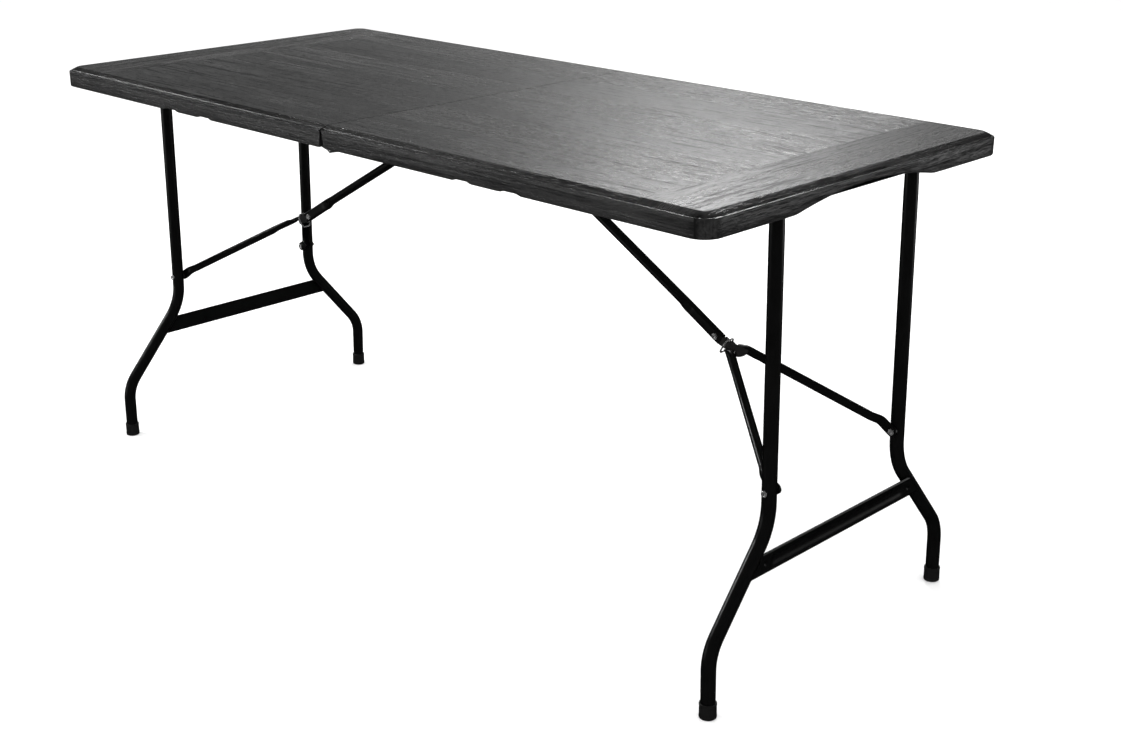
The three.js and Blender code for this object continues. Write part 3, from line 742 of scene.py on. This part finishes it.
def cross_tube(side):
    """The leg frame's pivot tube, with its bore."""
    low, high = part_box(f"{side}_cross_tube")
    y = np.linspace(low.y, high.y, 40)
    middle = (low + high) / 2
    path = stacked(middle.x, y, middle.z)
    surface = hollow_tube(path, TUBE_RADIUS, TUBE_WALL, 48)
    return stand_in(f"{side}_cross_tube", "smooth", f"{side}_leg_frame", "leg_enamel", surface)


def stretcher(side):
    """A pressed plate on a grid of its length and height. Its long edges are rolled back, a wide
    groove with round ends runs along it, and a pit is pressed in at each end. Near a leg the sheet is
    wrapped on to the tube, x = sqrt(r^2 - d^2) at a distance d from the leg's axis, so that its
    ends lie on the tube. Its back is level, and lies on the tubes in the same way."""
    share, up = np.meshgrid(np.linspace(-1, 1, 401), np.linspace(0, 1, 41), indexing="ij")
    top = -down(STRETCHER_TOP)
    z = top - STRETCHER_HEIGHT * up
    axis_half = LEG_HALF + (-down(UPPER_BEND) - z) * math.tan(SLANT)
    middle = top - STRETCHER_HEIGHT / 2
    middle_half = LEG_HALF + (-down(UPPER_BEND) - middle) * math.tan(SLANT)
    tuck = 3.2 * MM
    y = share * (axis_half - tuck)
    from_middle = z - middle
    past = np.maximum(np.abs(y) - middle_half + 44 * MM, 0)
    groove = 1 - smooth_step(1.5 * MM, 12.5 * MM, np.hypot(from_middle - 1 * MM, past))
    rolled = smooth_step(STRETCHER_HEIGHT / 2 - 3 * MM, STRETCHER_HEIGHT / 2, np.abs(from_middle))
    to_pit = np.hypot(np.abs(y) - middle_half + 2 * TUBE_RADIUS, from_middle)
    pit = 1 - smooth_step(2.0 * MM, 3.0 * MM, to_pit)
    from_axis = (axis_half - np.abs(y)) * math.cos(SLANT)
    clear = TUBE_RADIUS + FIT
    wrap = np.sqrt(np.maximum(clear ** 2 - from_axis ** 2, 0))
    outside = STRETCHER_OFFSET + STRETCHER_THICKNESS
    front = outside - 1.6 * MM * groove - 1.1 * MM * rolled ** 2 - 1.2 * MM * pit * (1 - groove)
    front = np.maximum(front, wrap + 0.4 * MM)
    back = np.maximum(STRETCHER_OFFSET, wrap)
    rows, columns = share.shape
    faces = np.stack([stacked(front, y, z), stacked(back, y, z)])
    count = rows * columns
    i, j = np.arange(rows), np.arange(columns)
    rim = np.concatenate([i * columns, (rows - 1) * columns + j[1:],
                          i[::-1][1:] * columns + columns - 1, j[::-1][1:-1]])
    ahead = np.roll(rim, -1)
    side_quads = stacked(ahead, rim, count + rim, count + ahead)
    sheet = grid_quads(rows, columns, loop_columns=False)
    quads = np.concatenate([sheet, sheet[:, ::-1] + count, side_quads])
    surface = (on_leg(faces.reshape(-1, 3), side), quads)
    return stand_in(f"{side}_stretcher", "pressed", f"{side}_leg_frame", "leg_enamel", surface, 50)


def rivet_head(radius, height, seat):
    """A tubular rivet's head from its seat outwards: a rolled rim round a deep pit."""
    shape = [(0.96, 0.0), (1.0, 0.14), (0.985, 0.45), (0.91, 0.78), (0.79, 0.96), (0.66, 1.0),
             (0.55, 0.9), (0.49, 0.62), (0.45, 0.3), (0.3, 0.18), (0.0, 0.15)]
    return [(radius * out, seat + height * up) for out, up in shape]


def leg_rivet(side, sign):
    """Shank through the leg with its head outside."""
    inner = LEG_HALF - TUBE_RADIUS - 0.5 * MM
    seat = LEG_HALF + TUBE_RADIUS + FIT
    shank = [(0, inner), (SHANK_RADIUS - 0.4 * MM, inner), (SHANK_RADIUS, inner + 0.3 * MM),
             (SHANK_RADIUS, seat)]
    points, quads = turned(shank + rivet_head(RIVET_RADIUS, 2.95 * MM, seat))
    points = points * np.array([1, sign, 1]) - np.array([0, 0, down(RIVET_HEIGHT)])
    name = f"{side}_{place_name(side, sign)}_leg_rivet"
    surface = (on_leg(points, side), quads)
    return stand_in(name, "domed", f"{side}_leg_frame", "bright_zinc", surface, 50)


# ---------------------------------------------------------------------------------------------
# Knee braces
# ---------------------------------------------------------------------------------------------
LEG_RIVET = LEG_PIVOT + Vector((math.sin(LEG_LEAN), 0, -math.cos(LEG_LEAN))) * down(RIVET_HEIGHT)
LOWER_LINK = (LEG_RIVET - KNEE).length
BRACE_RADIUS = 8 * MM
BRACE_WALL = 1.5 * MM
BRACE_OFFSET = 3.6 * MM
BRACE_START = -3.4 * MM
FLAT_HALF = 5 * MM
FLAT_WALL = 1.6 * MM
FLAT_LENGTH = 84 * MM
FLAT_BEYOND = 11 * MM
FLAT_TOP = BRACE_OFFSET + BRACE_RADIUS
FLAT_BELOW = 8.5 * MM
RING_WIRE = 1.5 * MM
RING_ALONG = 23 * MM
RING_LOW = -10.6 * MM
ARM_RADIUS = 7 * MM
ARM_START = 34 * MM
ARM_START_HALF = 11.6 * MM
ARM_LIFT = 8.5 * MM
ARM_UNDER = 2.75 * MM
ARM_OVER = 14.4 * MM
PAD_MIDDLE = LEG_HALF - TUBE_RADIUS - 1.5 * MM - 2.5 * MM
PAD_THICKNESS = 5 * MM
PAD_HALF = 8.5 * MM
PAD_LENGTH = 30 * MM


def slotted_section(half, top, bottom, slot_half, wall, sides=14):
    """A closed outline of a wall round an upright oval that stops short of the middle of its lower
    side: out along its outer face and back along its inner one. The oval's ends are half circles
    as wide as itself, so with a height of twice the half width it is a round tube. A slot as wide
    as the inside cuts the lower half circle away."""
    def face(inset):
        h, t, b = half - inset, top - inset, bottom + inset
        share = min(slot_half / h, 1.0)
        start = math.degrees(math.acos(share))
        right = arc_points((0, b + h), h, -start, 0, sides)
        right += arc_points((0, t - h), h, 0, 90, sides)
        left = [(-x, z) for x, z in right[::-1]]
        return right + left
    return np.array(face(0) + face(wall)[::-1])


def upper_brace(side):
    """A tube rolled from sheet whose end is flattened upright for the knee. Every ring is the same
    outline with its own half width, top and bottom, which run smoothly from the round tube's to
    the flat's, while the closed seam under it opens into the slot for the tongue."""
    start = UPPER_LINK - FLAT_LENGTH
    end = UPPER_LINK + FLAT_BEYOND
    stations = np.concatenate([[6.4 * MM, 7.0 * MM], np.linspace(20 * MM, start - 3 * MM, 30),
                               np.linspace(start, start + 20 * MM, 22)[1:],
                               np.linspace(start + 22 * MM, end - 0.5 * MM, 44), [end]])
    rings = []
    for along in stations:
        lift = BRACE_START + (BRACE_OFFSET - BRACE_START) * min(along / UPPER_LINK, 1)
        share = float(smooth_step(start - 1 * MM, start + 17 * MM, along))
        half = BRACE_RADIUS + (FLAT_HALF - BRACE_RADIUS) * share
        half -= 0.5 * MM * math.exp(-((along - start - 25 * MM) / (4 * MM)) ** 2)
        top = lift + BRACE_RADIUS + (FLAT_TOP - lift - BRACE_RADIUS) * share
        bottom = lift - BRACE_RADIUS + (-FLAT_BELOW - lift + BRACE_RADIUS) * share
        opened = float(smooth_step(start + 17 * MM, start + 24 * MM, along))
        slot_half = 0.05 * MM + (half - FLAT_WALL) * opened
        wall = BRACE_WALL + (FLAT_WALL - BRACE_WALL) * share
        section = slotted_section(half, top, bottom, slot_half, wall)
        middle_height = np.exp(-((section[:, 1] - 1.5 * MM) / (3.4 * MM)) ** 2)
        dimple = 1.3 * MM * math.exp(-((along - start - 9 * MM) / (3.2 * MM)) ** 2)
        section[:, 0] -= np.sign(section[:, 0]) * dimple * middle_height
        rings.append(stacked(along, *section.T))
    points, quads = skin(np.array(rings))
    first_pole = len(points) - 2
    size = rings[0].shape[0]
    closed = quads[:-2 * size]
    half = size // 2
    ladder = np.arange(half - 1)
    last = (len(rings) - 1) * size
    start_cap = stacked(ladder, ladder + 1, size - 2 - ladder, size - 1 - ladder)
    end_cap = last + start_cap[:, ::-1]
    quads = np.concatenate([closed, start_cap[:, ::-1], end_cap[:, ::-1]])
    surface = (on_brace(points[:first_pole], side), quads)
    return stand_in(f"{side}_upper_brace", "pressed", f"{side}_upper_brace", "leg_enamel", surface, 40)


def brace_arm(side, sign):
    """A tube whose round section is pressed flat at both ends: low and level beside the knuckle,
    and upright, thin and round-ended where it lies on the leg."""
    pad_start = LOWER_LINK - PAD_LENGTH
    rivet_end = LOWER_LINK + PAD_HALF
    along = np.concatenate([np.linspace(ARM_START, ARM_START + 34 * MM, 16),
                            np.linspace(ARM_START + 44 * MM, pad_start - 14 * MM, 12),
                            np.linspace(pad_start - 10 * MM, LOWER_LINK, 26),
                            LOWER_LINK + PAD_HALF * np.sin(np.radians(np.linspace(9, 88, 14)))])
    reach = (along - ARM_START) / (pad_start - ARM_START)
    straight = ARM_START_HALF + (PAD_MIDDLE - ARM_RADIUS - ARM_START_HALF) * reach
    bend = smooth_step(pad_start - 8 * MM, pad_start + 12 * MM, along)
    y = np.minimum(straight, PAD_MIDDLE + 1 * MM) * (1 - bend) + PAD_MIDDLE * bend
    lift = ARM_LIFT * (1 - (along - ARM_START) / (LOWER_LINK - ARM_START))
    lift = np.maximum(lift, 0) * (1 - smooth_step(pad_start, LOWER_LINK, along))
    flat = smooth_step(pad_start - 5 * MM, pad_start + 16 * MM, along)
    tall = ARM_RADIUS * (1 - flat) + PAD_HALF * flat
    past = np.clip(along - LOWER_LINK, 0, PAD_HALF)
    tall = np.where(along > LOWER_LINK, np.sqrt(np.maximum(PAD_HALF ** 2 - past ** 2, 0)), tall)
    wide = ARM_RADIUS * (1 - flat) + PAD_THICKNESS / 2 * flat
    press = 1 - smooth_step(ARM_START + 14 * MM, ARM_START + 40 * MM, along)
    nose = np.clip((along - ARM_START) / (16 * MM), 0, 1)
    crouch = 4.2 * MM * (1 - nose) ** 2
    tall = tall - press * 1.15 * MM - crouch
    lift = lift - crouch * 0.8
    power = 1 - 0.72 * flat - 0.3 * press
    angle = np.arange(40) * 2 * math.pi / 40
    cos, sin = np.cos(angle), np.sin(angle)
    side_part = np.sign(cos) * np.abs(cos) ** power[:, None]
    up_part = np.sign(sin) * np.abs(sin) ** power[:, None]
    slope = np.gradient(y, along)
    scale = 1 / np.sqrt(1 + slope ** 2)
    width = wide[:, None] * side_part
    x = along[:, None] - (slope * scale)[:, None] * width
    points_y = y[:, None] + scale[:, None] * width
    z = lift[:, None] + tall[:, None] * up_part
    rings = stacked(x, sign * points_y, z)
    points, quads = skin(rings)
    near = points[:, 0] < ARM_START + 38 * MM
    points[:, 2] = np.where(near, np.clip(points[:, 2], ARM_UNDER, ARM_OVER), points[:, 2])
    points[:, 0] = np.minimum(points[:, 0], rivet_end - 0.05 * MM)
    name = f"{side}_{place_name(side, sign)}_brace_arm"
    surface = (on_brace(points, side, UPPER_LINK), quads)
    return stand_in(name, "pressed", f"{side}_lower_brace", "leg_enamel", surface, 40)


def arm_rivet(side, sign):
    """The inner head of the leg rivet, on the arm's pad."""
    seat = -(PAD_MIDDLE - PAD_THICKNESS / 2 - FIT)
    tip = -(PAD_MIDDLE + PAD_THICKNESS / 2)
    shank = [(0, tip), (SHANK_RADIUS, tip), (SHANK_RADIUS, seat)]
    points, quads = turned(shank + rivet_head(RIVET_RADIUS, 2.6 * MM, seat))
    points = points * np.array([1, -sign, 1])
    name = f"{side}_{place_name(side, sign)}_arm_rivet"
    surface = (on_brace(points, side, UPPER_LINK + LOWER_LINK), quads)
    return stand_in(name, "domed", f"{side}_lower_brace", "bright_zinc", surface, 50)


def knee_rivet(side):
    """A rivet with a head outside each side of the flattened end."""
    seat = FLAT_HALF + FIT
    head = rivet_head(5.6 * MM, 1.9 * MM, seat)
    shank = [(SHANK_RADIUS, -seat), (SHANK_RADIUS, seat)]
    profile = [(r, -y) for r, y in head[::-1]] + shank + head
    points, quads = turned(profile)
    surface = (on_brace(points, side, UPPER_LINK), quads)
    return stand_in(f"{side}_knee_rivet", "domed", f"{side}_upper_brace", "bright_zinc", surface, 50)


def lock_ring(side):
    """A loop of round wire about a rectangle with round corners."""
    wire = RING_WIRE
    half = FLAT_HALF + 3.5 * MM + wire
    top, bottom, corner = FLAT_TOP + 0.5 * MM + wire, RING_LOW - wire, 7 * MM
    out, high, low = half - corner, top - corner, bottom + corner
    loop = []
    for centre, start in (((out, high), 0), ((-out, high), 90), ((-out, low), 180), ((out, low), 270)):
        loop += arc_points(centre, corner, start, start + 90, 10)
    loop = np.array(loop)
    ahead = np.roll(loop, -1, axis=0) - np.roll(loop, 1, axis=0)
    ahead /= np.linalg.norm(ahead, axis=1, keepdims=True)
    normal = stacked(ahead[:, 1], -ahead[:, 0])
    angle = np.arange(20) * 2 * math.pi / 20
    spread = wire * np.cos(angle)
    y, z = (loop[:, i:i + 1] + normal[:, i:i + 1] * spread for i in (0, 1))
    rings = stacked(wire * np.sin(angle), y, z)
    points, quads = skin(rings, loop=True)
    surface = (on_brace(points, side, UPPER_LINK + RING_ALONG), quads)
    return stand_in(f"{side}_lock_ring", "wire", f"{side}_lock_ring", "bright_zinc", surface, 60)


def pivot_bar(side):
    """The brace's pivot bar, with chamfered ends."""
    low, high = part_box(f"{side}_brace_pivot_bar")
    middle, half, radius = (low + high) / 2, (high.y - low.y) / 2, 6 * MM
    profile = [(0, -half), (radius - 1 * MM, -half), (radius, -half + 1 * MM), (radius, half - 1 * MM),
               (radius - 1 * MM, half), (0, half)]
    points, quads = turned(profile)
    surface = (points + np.array(middle), quads)
    return stand_in(f"{side}_brace_pivot_bar", "turned", f"{side}_upper_brace", "bright_zinc", surface, 40)


# ---------------------------------------------------------------------------------------------
# Straps, hinge leaves and knuckles with rounded edges, screws and pins
# ---------------------------------------------------------------------------------------------
STRAP_THICKNESS = 1.6 * MM
LEAF_THICKNESS = 2.5 * MM


def softened(node, body, width, slot="hinge_steel"):
    """The node's own shape, merged, with its flat faces joined and every edge rounded."""
    source = frame["nodes"][node]
    mesh = source.data.copy()
    shape = bmesh.new()
    shape.from_mesh(mesh)
    bmesh.ops.remove_doubles(shape, verts=shape.verts, dist=0.01 * MM)
    bmesh.ops.dissolve_limit(shape, angle_limit=math.radians(1), verts=shape.verts, edges=shape.edges)
    shape.to_mesh(mesh)
    shape.free()
    mesh.materials.clear()
    mesh.materials.append(FINISH[slot])
    piece = placed(f"{node}_rounded", mesh)
    rounding = piece.modifiers.new("rounding", "BEVEL")
    rounding.width = width
    rounding.segments = 3
    rounding.limit_method = "ANGLE"
    rounding.angle_limit = math.radians(32)
    mesh.polygons.foreach_set("use_smooth", np.ones(len(mesh.polygons), bool))
    mesh.set_sharp_from_angle(angle=math.radians(40))
    return settle(piece, body, slot, node)


def screw_at(place, direction):
    """A pan-head screw whose head stands along direction: a low dome with a cross pressed into
    it, on a short shank."""
    profile = [(0, -3.6), (1.8, -3.6), (1.8, 0), (4.2, 0), (4.3, 0.5), (3.9, 1.3), (3.0, 1.9),
               (2.2, 2.15), (1.4, 2.25), (0.6, 2.3), (0, 2.3)]
    points, quads = turned([(radius * MM, height * MM) for radius, height in profile], 32)
    radius = np.hypot(points[:, 0], points[:, 2])
    nearest = np.minimum(np.abs(points[:, 0]), np.abs(points[:, 2]))
    slot = (nearest < 0.45 * MM) & (radius < 2.6 * MM)
    points[:, 1] -= np.where(slot & (points[:, 1] > 1.5 * MM), 0.9 * MM, 0)
    y_axis = np.array(direction, float)
    x_axis = np.array([1.0, 0, 0])
    z_axis = np.cross(x_axis, y_axis)
    return points @ np.array([x_axis, y_axis, z_axis]) + np.array(place), quads


def screws(side):
    """The screws that hold this half's straps and hinge leaves to the underside of its top."""
    heads = []
    for sign in (-1, 1):
        where = place_name(side, sign)
        for strap in ("leg_pivot_strap", "brace_pivot_strap"):
            low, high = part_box(f"{side}_{where}_{strap}")
            y = (low.y + high.y) / 2
            for x in (low.x + 4.6 * MM, high.x - 4.6 * MM):
                heads.append(screw_at((x, y, CEILING - FIT - STRAP_THICKNESS), (0, 0, -1)))
        low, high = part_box(f"{where}_hinge_{side}_leaf")
        y_low, y_high = sorted((low.y, high.y), key=abs)
        y = y_low + (y_high - y_low) * 0.42
        for share in (0.32, 0.6, 0.88):
            x = SIDES[side] * (max(abs(low.x), abs(high.x)) * share)
            heads.append(screw_at((x, y, CEILING - FIT - LEAF_THICKNESS), (0, 0, -1)))
    points, quads = joined(heads)
    piece = mesh_of(f"{side}_strap_screws", points, quads, FINISH["bright_zinc"], 40)
    return settle(piece, f"{side}_half", "bright_zinc")


def hinge_pin(where):
    """A headed pin along Y through both leaves."""
    low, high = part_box(f"{where}_hinge_pin")
    middle = (low + high) / 2
    half = (high.y - low.y) / 2
    radius = 2.6 * MM
    seat = half - 2 * MM
    head = rivet_head((high.x - low.x) / 2, 2 * MM, seat)
    profile = [(r, -y) for r, y in head[::-1]] + [(radius, -seat), (radius, seat)] + head
    points, quads = turned(profile)
    surface = (points + np.array(middle), quads)
    return stand_in(f"{where}_hinge_pin", "domed", "left_half", "bright_zinc", surface, 50)


for side in SIDES:
    top_panel(side)
    cross_tube(side)
    stretcher(side)
    upper_brace(side)
    knee_rivet(side)
    lock_ring(side)
    pivot_bar(side)
    screws(side)
    softened(f"{side}_brace_knuckle", f"{side}_lower_brace", 0.8 * MM)
    for sign in (-1, 1):
        where = place_name(side, sign)
        leg_tube(side, sign)
        foot_cap(side, sign)
        leg_rivet(side, sign)
        brace_arm(side, sign)
        arm_rivet(side, sign)
        for strap in ("leg_pivot_strap", "brace_pivot_strap"):
            softened(f"{side}_{where}_{strap}", f"{side}_half", 0.4 * MM)
        softened(f"{where}_hinge_{side}_leaf", f"{side}_half", 0.5 * MM)
for where in ("front", "rear"):
    hinge_pin(where)

slot_of = {part["node"]: part["material_slot"] for part in frame["record"]["subparts"]}
for name, node in frame["nodes"].items():
    node.data.materials.clear()
    node.data.materials.append(FINISH[slot_of[name]])

# ---------------------------------------------------------------------------------------------
# Floor, light and camera
# ---------------------------------------------------------------------------------------------
FLOOR_SIZE = 40.0
SENSOR = 36.0
LENS = 51.75
EYE = (1.96025, -1.84187, 1.24527)
YAW, PITCH, ROLL = -0.7701, 0.3569, 0.0018


def pale_floor():
    """A plain pale floor with a very faint mottle."""
    material, shader, place = new_material("pale_floor", Roughness=0.9, Specular_IOR_Level=0.1)
    feed(shader, "Base Color", noise(place, 1.5, 2.0).colours(grey(0.93), grey(0.95)))
    half = FLOOR_SIZE / 2
    points = np.array([[-half, -half, 0], [half, -half, 0], [half, half, 0], [-half, half, 0]], float)
    mesh = bpy.data.meshes.new("pale_floor")
    mesh.from_pydata(points.tolist(), [], [(0, 1, 2, 3)])
    mesh.materials.append(material)
    floor = placed("pale_floor", mesh)
    floor.visible_glossy = False


def softbox(name, place, target, size, power, glossy=True):
    """An area light that faces its target. Cameras never see it, and glossy reflections may not."""
    light = bpy.data.lights.new(name, "AREA")
    light.shape = "RECTANGLE"
    light.size, light.size_y = size
    light.energy = power
    lamp = placed(name, light)
    lamp.location = place
    lamp.rotation_euler = (Vector(target) - Vector(place)).to_track_quat("-Z", "Y").to_euler()
    lamp.visible_camera = False
    lamp.visible_glossy = glossy


def studio():
    """An even white room and two fills that show in no reflection, and softboxes that do."""
    world = bpy.data.worlds.new("studio")
    world.use_nodes = True
    background = world.node_tree.nodes["Background"]
    background.inputs["Color"].default_value = (1, 1, 1, 1)
    background.inputs["Strength"].default_value = 1.05
    world.cycles_visibility.glossy = False
    bpy.context.scene.world = world
    softbox("overhead", (0, 0, 3.6), (0, 0, 0), (8.0, 8.0), 120, glossy=False)
    softbox("rear_softbox", (-1.99, 3.16, 3.0), (0.4, -0.1, 0.74), (1.19, 0.42), 67)
    softbox("rear_wall", (-3.4, 3.3, 1.15), (0, 0, 0.75), (5.6, 1.5), 10.5)
    softbox("front_fill", (2.4, -3.6, 1.1), (0.2, 0, 0.6), (2.0, 1.2), 30, glossy=False)
    softbox("left_panel", (-2.3, -2.6, 0.3), (0.2, -0.2, 0.6), (1.6, 1.2), 5)
    softbox("upper_strip", (-2.2, -1.1, 1.85), (0.7, -0.2, 0.3), (0.22, 1.3), 26)
    softbox("right_panel", (2.7, 2.7, 0.4), (0.7, 0, 0.6), (1.6, 1.2), 9)


def camera():
    """Stands in front of the right end, a little above the top, and looks down along the table."""
    lens = bpy.data.cameras.new("camera")
    lens.sensor_width = SENSOR
    lens.lens = LENS
    eye = placed("camera", lens)
    cos, sin = math.cos, math.sin
    ahead = Vector((sin(YAW) * cos(PITCH), cos(YAW) * cos(PITCH), -sin(PITCH)))
    right = Vector((cos(YAW), -sin(YAW), 0))
    up = right.cross(ahead)
    rolled_right = right * cos(ROLL) + up * sin(ROLL)
    rolled_up = up * cos(ROLL) - right * sin(ROLL)
    axes = Matrix((rolled_right, rolled_up, -ahead)).transposed()
    eye.matrix_world = Matrix.Translation(EYE) @ axes.to_4x4()
    bpy.context.scene.camera = eye


pale_floor()
studio()
camera()
bpy.context.scene.view_settings.view_transform = "Standard"
